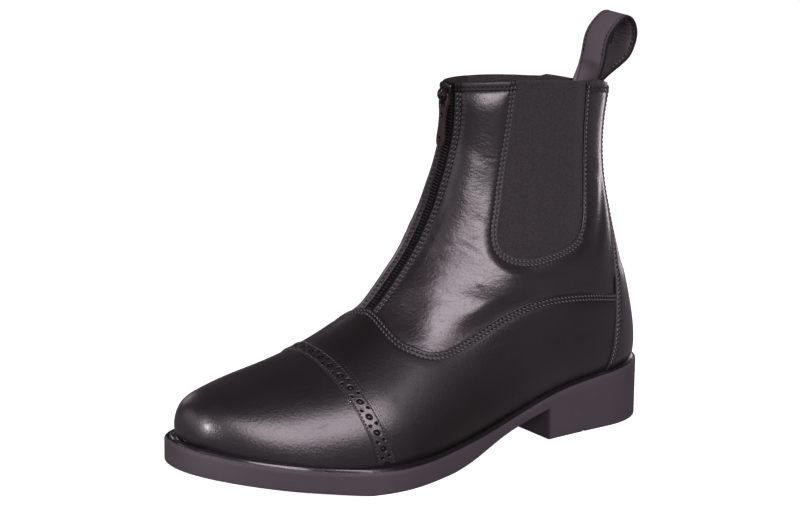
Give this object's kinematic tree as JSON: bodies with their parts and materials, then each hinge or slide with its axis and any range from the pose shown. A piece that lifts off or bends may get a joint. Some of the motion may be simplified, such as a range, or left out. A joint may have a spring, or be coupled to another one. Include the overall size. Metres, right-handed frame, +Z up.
{
  "type": "jodhpur boot",
  "caption": "Black leather ankle boot with a front zip, elastic side gores, perforated strip behind the toe cap and a pull loop.",
  "frame": {"origin": "on the floor under the middle of the boot's box", "axes": "+X to the outer side of the foot, -Y to the toe, +Z up"},
  "size_m": [0.1042, 0.2884, 0.2204],
  "materials": {
    "black_leather": "polished black with a light natural grain",
    "strip_leather": "satin black, perforated",
    "counter_leather": "satin black",
    "strap_leather": "matt black, stitched edges",
    "sole_rubber": "satin moulded",
    "footbed": "matt",
    "elastic": "ribbed weave",
    "zip_black": "moulded teeth on woven tape",
    "dark_metal": "black enamel"
  },
  "bodies": {
    "boot": {"upper": "black_leather", "outsole": "sole_rubber", "insole": "footbed", "gore_outer": "elastic", "gore_inner": "elastic", "brogue_strip": "strip_leather", "heel_counter": "counter_leather", "zip_teeth": "zip_black", "zip_slider": "dark_metal", "pull_loop": "strap_leather"},
    "zip_pull": {"zip_pull_tab": "dark_metal"}
  },
  "joints": [
    {"name": "pull_tab_hinge", "type": "hinge", "parent": "boot", "child": "zip_pull", "pos_m": [-0.0022, 0.01697, 0.19029], "axis": [-1, 0, 0], "range_deg": [-6, 158]}
  ]
}
